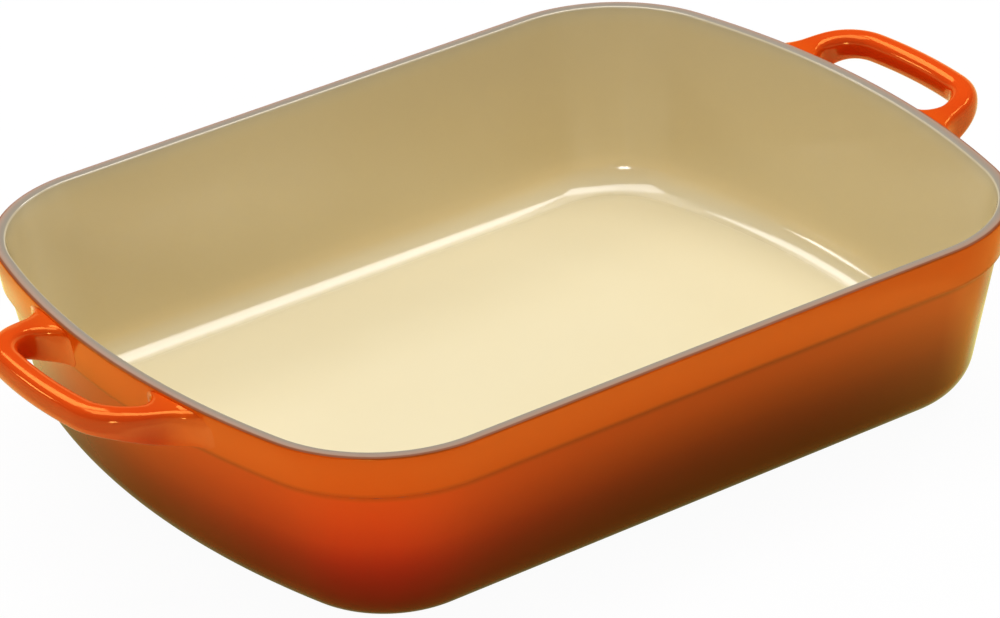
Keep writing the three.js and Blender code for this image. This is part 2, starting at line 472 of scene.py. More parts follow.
@dataclass(frozen=True)
class Corner:
    """The arc between a straight side at y = half_width and a bowed end that reaches x = half_length.

    Attributes:
        half_length: Where the bowed end crosses the X axis.
        half_width: Where the straight side lies.
        radius: Radius of the corner.
        end_radius: Radius of the bowed end.
    """

    half_length: float
    half_width: float
    radius: float
    end_radius: float

    @property
    def end_x(self) -> float:
        """The X of the bowed end's centre, which lies on the X axis."""
        return self.half_length - self.end_radius

    @property
    def y(self) -> float:
        """The Y of the corner's centre."""
        return self.half_width - self.radius

    @property
    def x(self) -> float:
        """The X of the corner's centre, where the two arcs are tangent."""
        return self.end_x + math.sqrt((self.end_radius - self.radius) ** 2 - self.y ** 2)

    @property
    def start(self) -> float:
        """The angle at which the bowed end passes into the corner."""
        return math.atan2(self.y, self.x - self.end_x)


def rounded_bend(
    before: np.ndarray, bend: np.ndarray, after: np.ndarray, radius: float, steps: int,
) -> np.ndarray:
    """Rounds a bend between two straight runs by an arc that is tangent to both.

    The arc's centre lies on the line that halves the angle, radius / sin(half the angle) from the
    bend. Its points are the mixture of its two ends by the sines of the turns to them.

    Args:
        before: A point on the run into the bend.
        bend: The sharp bend.
        after: A point on the run out of it.
        radius: Radius of the arc.
        steps: Steps along it.

    Returns:
        Points of the arc, both ends included.
    """
    back = (before - bend) / np.linalg.norm(before - bend)
    onward = (after - bend) / np.linalg.norm(after - bend)
    half = math.acos(float(back @ onward)) / 2
    halving = (back + onward) / np.linalg.norm(back + onward)
    centre = bend + halving * radius / math.sin(half)
    first = bend + back * radius / math.tan(half) - centre
    last = bend + onward * radius / math.tan(half) - centre
    turn = math.pi - 2 * half
    share = np.linspace(0, 1, steps + 1)[:, None]
    return centre + (np.sin((1 - share) * turn) * first + np.sin(share * turn) * last) / math.sin(turn)


def moved_profile(profile: np.ndarray, distance: float) -> np.ndarray:
    """Moves a wall's profile into the wall, mitred at each point.

    A point moves by the sum of the directions into it and out of it, turned by a right angle, times the
    distance over (1 plus the product of the two directions). Both ends lie on level faces.

    Args:
        profile: Insets and heights, up the outside, over the rim and down the inside.
        distance: How far to move it.

    Returns:
        The moved insets and heights.
    """
    runs = np.diff(profile, axis=0)
    runs /= np.linalg.norm(runs, axis=1, keepdims=True)
    arriving = np.vstack([[-1, 0], runs])
    leaving = np.vstack([runs, [1, 0]])
    both = arriving + leaving
    mitre = np.stack([both[:, 1], -both[:, 0]], axis=1)
    return profile + mitre * distance / (1 + (arriving * leaving).sum(axis=1, keepdims=True))


def grid_faces(rows: int, columns: int, closed: bool) -> np.ndarray:
    """Gives the quads of a grid whose columns run round.

    Args:
        rows: Rows of points.
        columns: Points in a row. The last joins the first.
        closed: Whether the last row joins the first as well.

    Returns:
        Four point numbers for each quad.
    """
    low = np.arange(rows if closed else rows - 1)[:, None] * columns
    high = (low + columns) % (rows * columns)
    here = np.arange(columns)[None, :]
    following = (here + 1) % columns
    quads = np.stack([low + here, low + following, high + following, high + here], axis=-1)
    return quads.reshape(-1, 4)


def pole_faces(pole: int, first: int, columns: int, up: bool) -> np.ndarray:
    """Gives the triangles from a row of points to one pole.

    Args:
        pole: The pole's number.
        first: The number of the row's first point.
        columns: Points in the row. The last joins the first.
        up: Whether the triangles turn with the row. Otherwise they turn against it.

    Returns:
        Three point numbers for each triangle.
    """
    here = np.arange(columns)
    following = (here + 1) % columns
    ends = (here, following) if up else (following, here)
    return np.stack([np.full(columns, pole), first + ends[0], first + ends[1]], axis=-1)


def capped(rings: np.ndarray, poles: np.ndarray) -> tuple[np.ndarray, list[list[int]]]:
    """Joins rings into a tube, and closes each end of it with triangles to a pole.

    Args:
        rings: Rings of points, turning so that the faces between them point outwards.
        poles: The pole of the first ring and that of the last.

    Returns:
        All points, with the two poles last, and the faces.
    """
    rows, columns = rings.shape[:2]
    count = rows * columns
    faces = grid_faces(rows, columns, closed=False).tolist()
    faces += pole_faces(count, 0, columns, up=False).tolist()
    faces += pole_faces(count + 1, count - columns, columns, up=True).tolist()
    return np.vstack([rings.reshape(-1, 3), poles]), faces


@dataclass
class Piece:
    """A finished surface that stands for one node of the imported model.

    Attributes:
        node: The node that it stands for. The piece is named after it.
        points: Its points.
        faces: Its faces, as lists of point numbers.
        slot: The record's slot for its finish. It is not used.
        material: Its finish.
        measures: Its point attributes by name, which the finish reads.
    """

    node: str
    points: np.ndarray
    faces: list[list[int]]
    slot: Slot
    material: bpy.types.Material
    measures: dict[str, np.ndarray]

    CREASE = math.radians(40)

    def make(self) -> None:
        """Makes the object, shades it smooth apart from its creases, hangs it on the root body and hides
        its node.
        """
        mesh = bpy.data.meshes.new(self.node + "_skin")
        mesh.from_pydata(self.points.reshape(-1, 3), [], self.faces)
        mesh.polygons.foreach_set("use_smooth", np.ones(len(mesh.polygons), dtype=bool))
        mesh.set_sharp_from_angle(angle=self.CREASE)
        for name, values in self.measures.items():
            attribute = mesh.attributes.new(name, "FLOAT", "POINT")
            attribute.data.foreach_set("value", values.ravel().astype(np.float32))
        mesh.materials.append(self.material)
        mesh.validate()
        piece = bpy.data.objects.new(self.node + "_skin", mesh)
        bpy.context.scene.collection.objects.link(piece)
        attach(piece, "root")
        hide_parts(self.node)
        log.info("%s stands for %s, %d faces", piece.name, self.node, len(mesh.polygons))


@dataclass
class Tub:
    """The tub's four coats: outside, rim, inside and base.

    Attributes:
        length: Over the rim.
        width: Over the rim.
        height: From the base to the top of the rim.
        corner_radius: Of the rim's outline.
        end_radius: Of the bowed ends of that outline.
        lean: Of the walls, outwards from the vertical.
        iron_wall: Thickness of the iron in the wall.
        iron_floor: Thickness of the iron in the floor.
        coat: Thickness of each coat.
        bond: Layer where a coat is fused to the iron.
        foot_radius: Where the outside of the wall turns under.
        floor_radius: Where an even coat on the iron would turn into the floor.
        nook_radius: Where the coat's own skin turns into the floor. The enamel pools there.
        band_height: Of the thicker band under the rim.
        band_proud: How far the band's lower edge stands off the wall.
        band_taper: How far that edge lies in from the rim.
        edge_rounding: Of the band's lower edge.
        nook_rounding: Where the ledge under the band meets the wall.
        ledge_drop: How far the ledge under the band falls towards the wall.
        crown: Rise of the rounded rim.
        grey_start: Where the grey begins, round the crown from its outer foot.
        grey_end: Where the grey meets the coat of the inside.
        side_reach: How far the shades of the corners spread along the sides.
        end_reach: How far they spread along the ends.
        corner_ease: Along the rim, how far they stay even in the middle of a corner.
        corner_strength: How strong they are at each corner, anticlockwise from the right front one. The
        differences are painted light: the left front corner, which the lamps light most, is strongest.
    """

    length: float = 332.4 * MM
    width: float = 252.4 * MM
    height: float = 74.6 * MM
    corner_radius: float = 55 * MM
    end_radius: float = 339 * MM
    lean: float = math.radians(11.5)
    iron_wall: float = 3 * MM
    iron_floor: float = 4 * MM
    coat: float = 0.35 * MM
    bond: float = 0.02 * MM
    foot_radius: float = 17.6 * MM
    floor_radius: float = 9 * MM
    nook_radius: float = 11.8 * MM
    band_height: float = 16.6 * MM
    band_proud: float = 1.9 * MM
    band_taper: float = 2.25 * MM
    edge_rounding: float = 0.6 * MM
    nook_rounding: float = 1.0 * MM
    ledge_drop: float = 0.8 * MM
    crown: float = 1.1 * MM
    grey_start: float = math.radians(30)
    grey_end: float = math.radians(140)
    side_reach: float = 54 * MM
    end_reach: float = 85 * MM
    corner_ease: float = 14 * MM
    corner_strength: tuple[float, float, float, float] = (0.3, 0.7, 0.7, 1.0)

    # Steps along the parts of the outline and of the profile.
    CORNER_STEPS = 48
    END_STEPS = 48
    SIDE_STEPS = 24
    FILLET_STEPS = 24
    ROUNDING_STEPS = 6
    CROWN_STEPS = 8
    # Sizes of the rings that fill a level face, as shares of its outline.
    FLOOR_RINGS = (0.99, 0.9, 0.6, 0.3)
    SMALLEST_BASE_RING = 0.2
    BASE_STEPS = 8

    @property
    def band_foot(self) -> float:
        """The height of the band's lower edge."""
        return self.height - self.band_height

    @property
    def crown_foot(self) -> float:
        """The height at which the rim begins to round over."""
        return self.height - self.crown

    @property
    def corner(self) -> Corner:
        """The rim's corner."""
        return Corner(self.length / 2, self.width / 2, self.corner_radius, self.end_radius)

    def wall_inset(self, height: float) -> float:
        """Gives the inset of the wall's outer face at a height, on the leaning line below the band."""
        return self.band_taper + self.band_proud + (self.band_foot - height) * math.tan(self.lean)

    def stations(self) -> Stations:
        """Gives the rim's outline, anticlockwise from the right front corner.

        It is a corner, an end, a corner and a side, and then the same after half a turn.

        Returns:
            The stations.
        """
        corner = self.corner
        first = np.linspace(-math.pi / 2, -corner.start, self.CORNER_STEPS + 1)
        bow = np.linspace(-corner.start, corner.start, self.END_STEPS + 1)[1:-1]
        side = np.linspace(corner.x, -corner.x, self.SIDE_STEPS + 1)[1:-1]
        half = joined(
            arc_stations((corner.x, -corner.y), self.corner_radius, first),
            arc_stations((corner.end_x, 0), self.end_radius, bow),
            arc_stations((corner.x, corner.y), self.corner_radius, -first[::-1]),
            straight_stations(side, corner.y, self.corner_radius),
        )
        return joined(half, Stations(-half.centre, half.radius, -half.out))

    def corner_share(self) -> np.ndarray:
        """Gives how near each station is to the middle of a corner.

        It is the sum, over the four corners, of the corner's strength times exp(-d / reach). Here d is
        the distance along the rim to the middle of that corner, eased near 0, and the reach is the
        side's or the end's.

        Returns:
            A share from 0 to 1 for each station.
        """
        stations = self.stations()
        rim = stations.moved_in(np.zeros(1))
        step = np.linalg.norm(np.roll(rim, -1, axis=0) - rim, axis=1)
        along = np.cumsum(step) - step
        middle = self.CORNER_STEPS // 2
        next_corner = self.CORNER_STEPS + self.END_STEPS
        places = np.array([middle, middle + next_corner])
        places = along[np.concatenate([places, places + len(rim) // 2])]
        apart = np.abs(along[:, None] - places)
        apart = np.minimum(apart, step.sum() - apart)
        eased = np.hypot(apart, self.corner_ease) - self.corner_ease
        faces_end = np.abs(stations.out[:, :1]) > np.abs(stations.out[:, 1:])
        reach = np.where(faces_end, self.end_reach, self.side_reach)
        # The corners' unequal strengths are painted light, strongest at the left front corner that the
        # lamps light most.
        return np.clip(np.exp(-eased / reach) @ np.array(self.corner_strength), 0, 1)

    def fillet(self, corner_inset: float, height: float, radius: float) -> np.ndarray:
        """Gives a fillet from a level face into the leaning wall.

        Its points are (centre less radius times sin a, height plus radius times (1 less cos a)), as the
        angle a goes from 0 to the angle between the face and the wall.

        Args:
            corner_inset: The inset at which the wall's line would meet the level face.
            height: Of the level face.
            radius: Of the fillet.

        Returns:
            Insets and heights, from the level face up.
        """
        turn = math.pi / 2 - self.lean
        centre = corner_inset + radius * math.tan(turn / 2)
        angle = np.linspace(0, turn, self.FILLET_STEPS + 1)
        return np.stack([centre - radius * np.sin(angle), height + radius * (1 - np.cos(angle))], axis=1)

    def profile(self, floor_radius: float) -> tuple[np.ndarray, int, int]:
        """Gives the section of one wall, up the outside, over the rim and down the inside.

        The rim is half an ellipse: (half less half times cos a, foot plus crown times sin a), as the
        angle a goes from 0 to a half turn.

        Args:
            floor_radius: Where the inside turns into the floor.

        Returns:
            Insets and heights, and the numbers of the points where the grey begins and ends.
        """
        coats = 2 * (self.coat + self.bond)
        wall = (self.iron_wall + coats) / math.cos(self.lean)
        floor = self.iron_floor + coats
        half = (self.wall_inset(self.crown_foot) + wall) / 2
        foot = self.fillet(self.wall_inset(0), 0, self.foot_radius)
        ledge_height = self.band_foot - self.ledge_drop
        ledge = np.array([self.wall_inset(ledge_height), ledge_height])
        edge = np.array([self.band_taper, self.band_foot])
        brow = np.array([0, self.crown_foot])
        outside = np.vstack([
            foot,
            rounded_bend(foot[-1], ledge, edge, self.nook_rounding, self.ROUNDING_STEPS),
            rounded_bend(ledge, edge, brow, self.edge_rounding, self.ROUNDING_STEPS),
        ])
        limits = (0, self.grey_start, self.grey_end, math.pi)
        parts = [np.linspace(low, high, self.CROWN_STEPS + 1)[1:] for low, high in zip(limits, limits[1:])]
        angle = np.concatenate([[0], *parts])
        crown_height = self.crown_foot + self.crown * np.sin(angle)
        crown = np.stack([half - half * np.cos(angle), crown_height], axis=1)
        inside = self.fillet(self.wall_inset(floor) + wall, floor, floor_radius)[::-1]
        grey_start = len(outside) + self.CROWN_STEPS
        return np.vstack([outside, crown, inside]), grey_start, grey_start + self.CROWN_STEPS

    def rings(self, profile: np.ndarray) -> np.ndarray:
        """Carries a profile round the rim's outline.

        Args:
            profile: Insets and heights.

        Returns:
            One ring of points for each point of the profile.
        """
        plan = self.stations().moved_in(profile[:, :1])
        height = np.broadcast_to(profile[:, 1, None, None], (*plan.shape[:2], 1))
        return np.concatenate([plan, height], axis=-1)

    def shell(self, skin: np.ndarray, back: np.ndarray) -> tuple[np.ndarray, list[list[int]]]:
        """Closes a coat between its skin and its back into a ring-shaped shell."""
        rings = np.concatenate([skin, back[::-1]])
        return rings, grid_faces(*rings.shape[:2], closed=True).tolist()

    def plate(self, rings: np.ndarray) -> tuple[np.ndarray, list[list[int]]]:
        """Closes rings that begin and end on level faces with a pole in the middle of each face."""
        poles = np.array([[0, 0, rings[0, 0, 2]], [0, 0, rings[-1, 0, 2]]])
        return capped(rings, poles)

    def shrunk(self, ring: np.ndarray, shares: np.ndarray) -> np.ndarray:
        """Repeats a level ring at smaller sizes about the Z axis."""
        return ring[None] * np.stack([shares, shares, np.ones_like(shares)], axis=1)[:, None]

    def make(self) -> None:
        """Builds the four coats and dresses them."""
        profile, grey_start, grey_end = self.profile(self.nook_radius)
        even_profile = self.profile(self.floor_radius)[0]
        skin = self.rings(profile)
        back = self.rings(moved_profile(even_profile, self.coat))
        self.make_outside(skin[:grey_start + 1], back[:grey_start + 1])
        self.make_rim(skin[grey_start:grey_end + 1], back[grey_start:grey_end + 1])
        self.make_inside(skin[grey_end:], back[grey_end:])
        self.make_base(skin[0], back[0])

    def make_outside(self, skin: np.ndarray, back: np.ndarray) -> None:
        """Makes the orange coat, whose measure is the height.

        Args:
            skin: Rings of its outer face.
            back: Rings of its face against the iron.
        """
        points, faces = self.shell(skin, back)
        measures = {
            ORANGE.MEASURE: points[..., 2] / self.height,
            ORANGE.SECOND: np.broadcast_to(self.corner_share(), points.shape[:2]),
        }
        Piece("exterior_enamel", points, faces, Slot.ORANGE, ORANGE.material(), measures).make()

    def make_rim(self, skin: np.ndarray, back: np.ndarray) -> None:
        """Makes the grey coat, whose measure goes across it from its outer edge to its inner edge.

        Args:
            skin: Rings of its outer face.
            back: Rings of its face against the iron.
        """
        points, faces = self.shell(skin, back)
        across = np.linspace(0, 1, len(skin))
        values = np.broadcast_to(np.concatenate([across, across[::-1]])[:, None], points.shape[:2])
        Piece("rim_enamel", points, faces, Slot.GREY, GREY.material(), {GREY.MEASURE: values}).make()

    def make_inside(self, skin: np.ndarray, back: np.ndarray) -> None:
        """Makes the sand-coloured coat, whose measure is the height over the floor.

        Args:
            skin: Rings of its outer face.
            back: Rings of its face against the iron.
        """
        floor = self.shrunk(skin[-1], np.array(self.FLOOR_RINGS))
        points, faces = self.plate(np.concatenate([back[::-1], skin, floor]))
        values = (points[:, 2] - points[-1, 2]) / self.height
        Piece("interior_enamel", points, faces, Slot.SAND, SAND.material(), {SAND.MEASURE: values}).make()

    def make_base(self, skin: np.ndarray, back: np.ndarray) -> None:
        """Makes the dark coat under the base, whose measure goes from the middle to the edge.

        Args:
            skin: The ring round its lower face.
            back: The ring round its face against the iron.
        """
        shares = np.linspace(self.SMALLEST_BASE_RING, 1, self.BASE_STEPS + 1)
        points, faces = self.plate(np.concatenate([self.shrunk(skin, shares), back[None]]))
        values = np.linalg.norm(points[:, :2], axis=1) / (self.length / 2)
        Piece("base_enamel", points, faces, Slot.BROWN, BROWN.material(), {BROWN.MEASURE: values}).make()


@dataclass
class LoopHandle:
    """The orange coat of one loop handle.

    Attributes:
        end: The end of the pan that it is on.
        tub: The tub that carries it.
        reach: From the rim's end to the outside of the bar.
        span: Over the outsides of the two arms.
        shoulder_radius: Of the middle line, where an arm turns into the bar.
        bar_radius: Of the bowed bar's middle line.
        bar_width: Of the section, in plan.
        bar_height: Of the section.
        lift: How far the bar's top stands above the rim.
        root_drop: How far an arm's top lies under the crown's foot at its root.
        outer_fillet: In plan, between an arm's outer side and the band.
        inner_fillet: In plan, between an arm's inner side and the band.
        rise: Along an arm, from the root's depth to the bar's depth.
        root_squareness: Exponent of the section's superellipse at the root.
        bar_squareness: Exponent of the section's superellipse at the bar.
        sink: How far the roots go into the band, so that no gap shows.
        pool: How much thicker the coat lies on the inner side of the loop.
        root_reach: How far the band's shades reach out along an arm.
    """

    end: End
    tub: Tub
    reach: float = 30.6 * MM
    span: float = 87 * MM
    shoulder_radius: float = 18.5 * MM
    bar_radius: float = 176 * MM
    bar_width: float = 10 * MM
    bar_height: float = 10.3 * MM
    lift: float = 1.4 * MM
    root_drop: float = 0.2 * MM
    outer_fillet: float = 16 * MM
    inner_fillet: float = 10.5 * MM
    rise: float = 25 * MM
    root_squareness: float = 4
    bar_squareness: float = 2.4
    sink: float = 0.8 * MM
    pool: float = 0.12 * MM
    root_reach: float = 14 * MM

    # Steps along the parts of the middle line, and round a section.
    ARM_STEPS = 60
    SHOULDER_STEPS = 28
    BAR_STEPS = 48
    SECTION_STEPS = 72

    def stations(self) -> Stations:
        """Gives the middle line in plan, from inside the wall along one arm, round the bar and back.

        Returns:
            The stations.
        """
        middle = self.tub.length / 2 + self.reach - self.bar_width / 2
        arm_y = (self.span - self.bar_width) / 2
        corner = Corner(middle, arm_y, self.shoulder_radius, self.bar_radius)
        arm_x = np.linspace(self.tub.length / 2 - self.bar_width, corner.x, self.ARM_STEPS + 1)[:-1]
        turn = np.linspace(math.pi / 2, corner.start, self.SHOULDER_STEPS + 1)
        side = joined(
            straight_stations(arm_x, corner.y, self.shoulder_radius),
            arc_stations((corner.x, corner.y), self.shoulder_radius, turn),
        )
        bow = np.linspace(corner.start, -corner.start, self.BAR_STEPS + 1)[1:-1]
        bar = arc_stations((corner.end_x, 0), self.bar_radius, bow)
        flip = np.array([1, -1])
        mirrored = Stations(side.centre[::-1] * flip, side.radius[::-1], side.out[::-1] * flip)
        return joined(side, bar, mirrored)

    def fillet_spread(
        self, along: np.ndarray, arm_side: float, direction: int, radius: float,
    ) -> np.ndarray:
        """Gives how far a root's fillet stands out from an arm's side, at places along the arm.

        In plan the fillet is an arc that is tangent to the arm's side and to the band's circle, so its
        centre is at end_radius + radius from that circle's centre. It stands out by radius less the root
        of (radius squared less the distance to its end squared).

        Args:
            along: The places' X.
            arm_side: The Y of the arm's side.
            direction: The way in which the fillet spreads along Y, 1 or -1.
            radius: Of the fillet.

        Returns:
            The spread at each place.
        """
        band_centre = self.tub.corner.end_x
        reach = self.tub.end_radius + radius
        centre = band_centre + math.sqrt(reach ** 2 - (arm_side + direction * radius) ** 2)
        touch = band_centre + (centre - band_centre) * self.tub.end_radius / reach
        left = np.maximum(centre - np.maximum(along, touch), 0)
        return radius - np.sqrt(radius ** 2 - left ** 2)

    def band_face(self, across: np.ndarray) -> np.ndarray:
        """Gives the X of the band's face at the rim, at places across the pan."""
        return self.tub.corner.end_x + np.sqrt(self.tub.end_radius ** 2 - across ** 2)

    def surface(self) -> np.ndarray:
        """Works out the right handle as superellipse sections carried along its middle line.

        A section's point is (sign(cos a) |cos a| ^ (2 / n), sign(sin a) |sin a| ^ (2 / n)), scaled to
        the width and depth there. Width, depth and squareness n pass from the root's to the bar's along
        the arm, and the root leans with the band.

        Returns:
            One ring of points for each station.
        """
        tub = self.tub
        stations = self.stations()
        centre = stations.moved_in(np.zeros(len(stations.radius)))
        share = smoothstep(centre[:, 0] - self.band_face(centre[:, 1]), 0, self.rise)[:, None]
        along = centre[:, 0]
        half = self.bar_width / 2
        inner_side = self.span / 2 - self.bar_width
        outer = half + self.fillet_spread(along, self.span / 2, 1, self.outer_fillet)[:, None]
        inner = half + self.fillet_spread(along, inner_side, -1, self.inner_fillet)[:, None]
        inner = inner + self.pool
        bar_top = tub.height + self.lift
        top = tub.crown_foot - self.root_drop + share * (bar_top - tub.crown_foot + self.root_drop)
        foot = tub.band_foot + share * (bar_top - self.bar_height - tub.band_foot)
        power = 2 / (self.root_squareness + share * (self.bar_squareness - self.root_squareness))
        angle = np.linspace(0, 2 * math.pi, self.SECTION_STEPS, endpoint=False)[None, :]
        across = np.sign(np.cos(angle)) * np.abs(np.cos(angle)) ** power
        up = np.sign(np.sin(angle)) * np.abs(np.sin(angle)) ** power
        inset = -(outer - inner + (outer + inner) * across) / 2
        z = (top + foot + (top - foot) * up) / 2
        from_centre = (stations.radius[:, None] - inset)[..., None] * stations.out[:, None]
        plan = stations.centre[:, None] + from_centre
        lean = tub.band_taper * (tub.crown_foot - z) / (tub.crown_foot - tub.band_foot)
        sunk = self.band_face(plan[..., 1]) - lean - self.sink
        x = np.maximum(plan[..., 0] - lean * (1 - share), sunk)
        return np.stack([x, plan[..., 1], z], axis=-1)

    def make(self) -> None:
        """Builds the coat, turns it to its end and dresses it.

        Its measure is the height over its lowest edge, and its second shades are those of the band at
        its roots.
        """
        rings = self.surface()
        poles = np.stack([rings[0].mean(axis=0), rings[-1].mean(axis=0)])
        points, faces = capped(rings, poles)
        off_band = points[:, 0] - self.band_face(points[:, 1])
        points[:, :2] *= self.end.value
        values = (points[:, 2] - self.tub.band_foot) / (self.tub.height + self.lift - self.tub.band_foot)
        measures = {HANDLE.MEASURE: values, HANDLE.SECOND: 1 - smoothstep(off_band, 0, self.root_reach)}
        node = self.end.name.lower() + "_handle_enamel"
        Piece(node, points, faces, Slot.ORANGE, HANDLE.material(), measures).make()


@dataclass
class Softbox:
    """A flat lamp that shines from a place towards the pan.

    Attributes:
        name: The lamp's name.
        place: Where its middle is.
        size: Its width, across, and its height.
        brightness: Of its face, where 1 is white.
        aim: The point that it faces.
        roll: Its turn about its own axis.
    """

    name: str
    place: tuple[float, float, float]
    size: tuple[float, float]
    brightness: float
    aim: tuple[float, float, float] = (0, 0, 0.03)
    roll: float = 0

    # Height of the overhead lamps, and their turn about Z, which is about the camera's.
    CEILING = 2.5
    TURN = math.radians(-35.2)

    @classmethod
    def overhead(
        cls, name: str, across: tuple[float, float], beyond: tuple[float, float], brightness: float,
    ) -> "Softbox":
        """Gives a lamp that lies level under the ceiling, square to the camera.

        Args:
            name: The lamp's name.
            across: Its left and right edges from above the pan, as shares of the ceiling's height.
            beyond: Its near and far edges, in the same way.
            brightness: Of its face.

        Returns:
            The lamp.
        """
        right = Vector((math.cos(cls.TURN), math.sin(cls.TURN), 0))
        away = Vector((-right.y, right.x, 0))
        middle = cls.CEILING * (right * sum(across) / 2 + away * sum(beyond) / 2)
        place = (middle.x, middle.y, cls.CEILING)
        size = (cls.CEILING * (across[1] - across[0]), cls.CEILING * (beyond[1] - beyond[0]))
        return cls(name, place, size, brightness, (middle.x, middle.y, 0), cls.TURN)

    def make(self) -> None:
        """Adds the lamp. Its power is pi times its area times its brightness."""
        lamp = bpy.data.lights.new(self.name, "AREA")
        lamp.shape = "RECTANGLE"
        lamp.size, lamp.size_y = self.size
        lamp.energy = math.pi * self.size[0] * self.size[1] * self.brightness
        holder = bpy.data.objects.new(self.name, lamp)
        towards = Vector(self.aim) - Vector(self.place)
        turn = towards.to_track_quat("-Z", "Y").to_matrix() @ Matrix.Rotation(self.roll, 3, "Z")
        holder.matrix_world = Matrix.Translation(self.place) @ turn.to_4x4()
        bpy.context.scene.collection.objects.link(holder)


@dataclass
class Studio:
    """The floor, the lamps and the camera.

    Attributes:
        azimuth: Of the camera, from straight in front of the pan.
        elevation: Of the camera.
        roll: Of the camera.
        distance: From the camera to the pan's origin, along its axis.
        across: How far the camera stands to the right of the pan's origin.
        above: How far it stands above it, both square to its axis.
        lens: Its focal length, in millimetres.
        sensor: Width of its sensor, in millimetres.
        sight: How far it sees.
        floor_half: Half the floor's side.
        floor_drop: How far the floor lies under the base, so that the two do not touch.
        floor_paint: Colour of the floor.
        floor_white: Share of plain white over that paint, as the camera sees it.
        floor_mirrored: The same share in a reflection.
        sky: Brightness of the even light from all round.
        backdrop: Height of the white backdrop all round, as the sine of its angle above the floor.
        shadow: Where the middle of the shadow painted into the floor's white in reflections lies.
        shadow_half: Half that painted shadow's width, each way.
        glow_rise: Brightness of the floor's white in a reflection, by its distance from the shadow: a
            painted glow.
        glow_fall: What it loses further out.
    """

    azimuth: float = math.radians(-35.213)
    elevation: float = math.radians(28.059)
    roll: float = math.radians(-2.3663)
    distance: float = 1994.6 * MM
    across: float = -3.2208 * MM
    above: float = 31.434 * MM
    lens: float = 200.42
    sensor: float = 36
    sight: float = 100
    floor_half: float = 6.0
    floor_drop: float = 0.3 * MM
    floor_paint: tuple[float, float, float, float] = (0.9, 0.9, 0.9, 1)
    floor_white: float = 0.96
    floor_mirrored: float = 0.5
    sky: float = 0.28
    backdrop: float = 0.26
    shadow: tuple[float, float, float] = (-36 * MM, -12 * MM, 0)
    shadow_half: float = 155 * MM
    glow_rise: Ramp = Ramp(0.5, 1.7, 0.5, 2.1)
    glow_fall: Ramp = Ramp(1.75, 2.2)

    def make(self) -> None:
        """Sets up the studio."""
        bpy.context.scene.view_settings.view_transform = "Standard"
        self.make_camera()
        self.make_floor()
        self.make_sky()
        for lamp in LAMPS:
            lamp.make()

    def make_camera(self) -> None:
        """Places the camera by its angles: its right and back axes first, then up, turned by the roll."""
        flat = math.cos(self.elevation)
        sine = math.sin(self.azimuth)
        cosine = math.cos(self.azimuth)
        right = Vector((cosine, sine, 0))
        back = Vector((sine * flat, -cosine * flat, math.sin(self.elevation)))
        up = back.cross(right)
        rolled_right = math.cos(self.roll) * right + math.sin(self.roll) * up
        rolled_up = math.cos(self.roll) * up - math.sin(self.roll) * right
        place = self.across * rolled_right + self.above * rolled_up + self.distance * back
        data = bpy.data.cameras.new("camera")
        data.sensor_width = self.sensor
        data.sensor_fit = "HORIZONTAL"
        data.lens = self.lens
        data.clip_end = self.sight
        camera = bpy.data.objects.new("camera", data)
        axes = Matrix((rolled_right, rolled_up, back)).transposed().to_4x4()
        camera.matrix_world = Matrix.Translation(place) @ axes
        bpy.context.scene.collection.objects.link(camera)
        bpy.context.scene.camera = camera

    def seen(self, graph: Graph, direct: Source, mirrored: Source) -> bpy.types.NodeSocket:
        """Gives how white a surface is where it is seen, and 0 where it only sends light on.

        Args:
            graph: The nodes to add to.
            direct: How white it is to the camera.
            mirrored: How white it is in a reflection or through glass.

        Returns:
            A value that is 1 for white.
        """
        path = graph.add("LightPath").outputs
        indirect = graph.maths("MAXIMUM", path["Is Glossy Ray"], path["Is Transmission Ray"])
        first = graph.maths("MULTIPLY", path["Is Camera Ray"], direct)
        second = graph.maths("MULTIPLY", indirect, mirrored)
        return graph.maths("MAXIMUM", first, second)

    def floor_glow(self, graph: Graph) -> bpy.types.NodeSocket:
        """Gives the brightness of the floor's white in a reflection.

        It is a painted shadow and glow that no lamp casts. It rises with the distance from the shadow
        painted round the pan, is highest just outside it and is lower further out. The distance is the
        length of (u squared, v squared), where u and v are x and y from the shadow's middle, as shares of
        half the shadow's width.

        Args:
            graph: The nodes to add to.

        Returns:
            A value that is 1 for white.
        """
        place = graph.add("TexCoord").outputs["Object"]
        moved = graph.vectors("SUBTRACT", place, self.shadow)
        scaled = graph.vectors("MULTIPLY", moved, (1 / self.shadow_half, 1 / self.shadow_half, 0))
        squared = graph.vectors("MULTIPLY", scaled, scaled)
        distance = graph.add("VectorMath", {0: squared}, operation="LENGTH").outputs["Value"]
        rise = graph.eased(distance, self.glow_rise)
        return graph.maths("SUBTRACT", rise, graph.eased(distance, self.glow_fall))

    def make_floor(self) -> None:
        """Makes a pale level floor just under the pan, which is mostly white where it is seen."""
        half = self.floor_half
        corners = [(-half, -half), (half, -half), (half, half), (-half, half)]
        mesh = bpy.data.meshes.new("floor")
        mesh.from_pydata([(x, y, -self.floor_drop) for x, y in corners], [], [(0, 1, 2, 3)])
        graph = Graph(bpy.data.materials.new("pale_floor"))
        share = self.seen(graph, self.floor_white, self.floor_mirrored)
        paint = graph.add("BsdfDiffuse", {"Color": self.floor_paint}).outputs["BSDF"]
        # In reflections the floor's white carries a painted shadow and glow round the pan.
        strength = self.seen(graph, 1.0, self.floor_glow(graph))
        white = graph.add("Emission", {"Strength": strength}).outputs["Emission"]
        mix = graph.add("MixShader", {0: share, 1: paint, 2: white})
        graph.finish(mix.outputs["Shader"])
        mesh.materials.append(graph.owner)
        floor = bpy.data.objects.new("floor", mesh)
        bpy.context.scene.collection.objects.link(floor)

